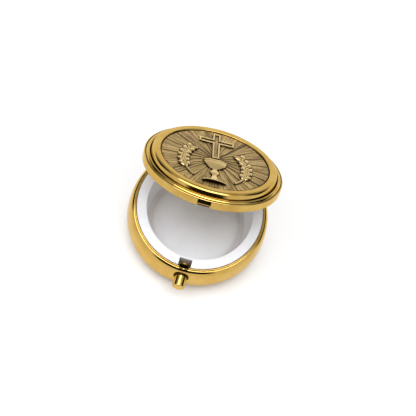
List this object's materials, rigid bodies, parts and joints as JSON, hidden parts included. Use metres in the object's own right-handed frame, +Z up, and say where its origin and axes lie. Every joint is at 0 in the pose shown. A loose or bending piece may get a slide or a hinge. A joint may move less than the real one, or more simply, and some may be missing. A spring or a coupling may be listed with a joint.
{
  "type": "pyx",
  "caption": "Round gilt push-button pyx: bulged bowl with a white tray insert, hinged stepped lid with a cast bronze medallion, and a spring catch worked by a front button.",
  "frame": {"origin": "centre of the flat underside of the bowl", "axes": "+Z up out of the bowl, -Y towards the push button, +Y towards the hinge"},
  "size_m": [0.05, 0.06, 0.0454],
  "materials": {
    "gilt_brass": "polished gold plate",
    "antique_bronze": "cast, antiqued with dark recesses",
    "white_plastic": "satin moulded",
    "spring_steel": "drawn wire"
  },
  "bodies": {
    "base": {"base_shell": "gilt_brass", "tray_insert": "white_plastic", "button_bush": "gilt_brass", "button_spring": "spring_steel", "base_hinge_leaf": "gilt_brass", "hinge_pin": "gilt_brass"},
    "lid": {"lid_shell": "gilt_brass", "medallion": "antique_bronze", "catch_tongue": "gilt_brass", "lid_hinge_strap": "gilt_brass"},
    "button": {"push_button": "gilt_brass", "shank_spacer": "gilt_brass", "catch_hook": "gilt_brass"}
  },
  "joints": [
    {"name": "lid_hinge", "type": "hinge", "parent": "base", "child": "lid", "pos_m": [0, 0.0272, 0.0072], "axis": [-1, 0, 0], "range_deg": [-36, 59]},
    {"name": "button_press", "type": "slide", "parent": "base", "child": "button", "axis": [0, 1, 0], "range_m": [0, 0.0008], "stiffness_N_per_m": 1000, "springref_m": -0.0005, "deforming": ["button_spring"]}
  ]
}
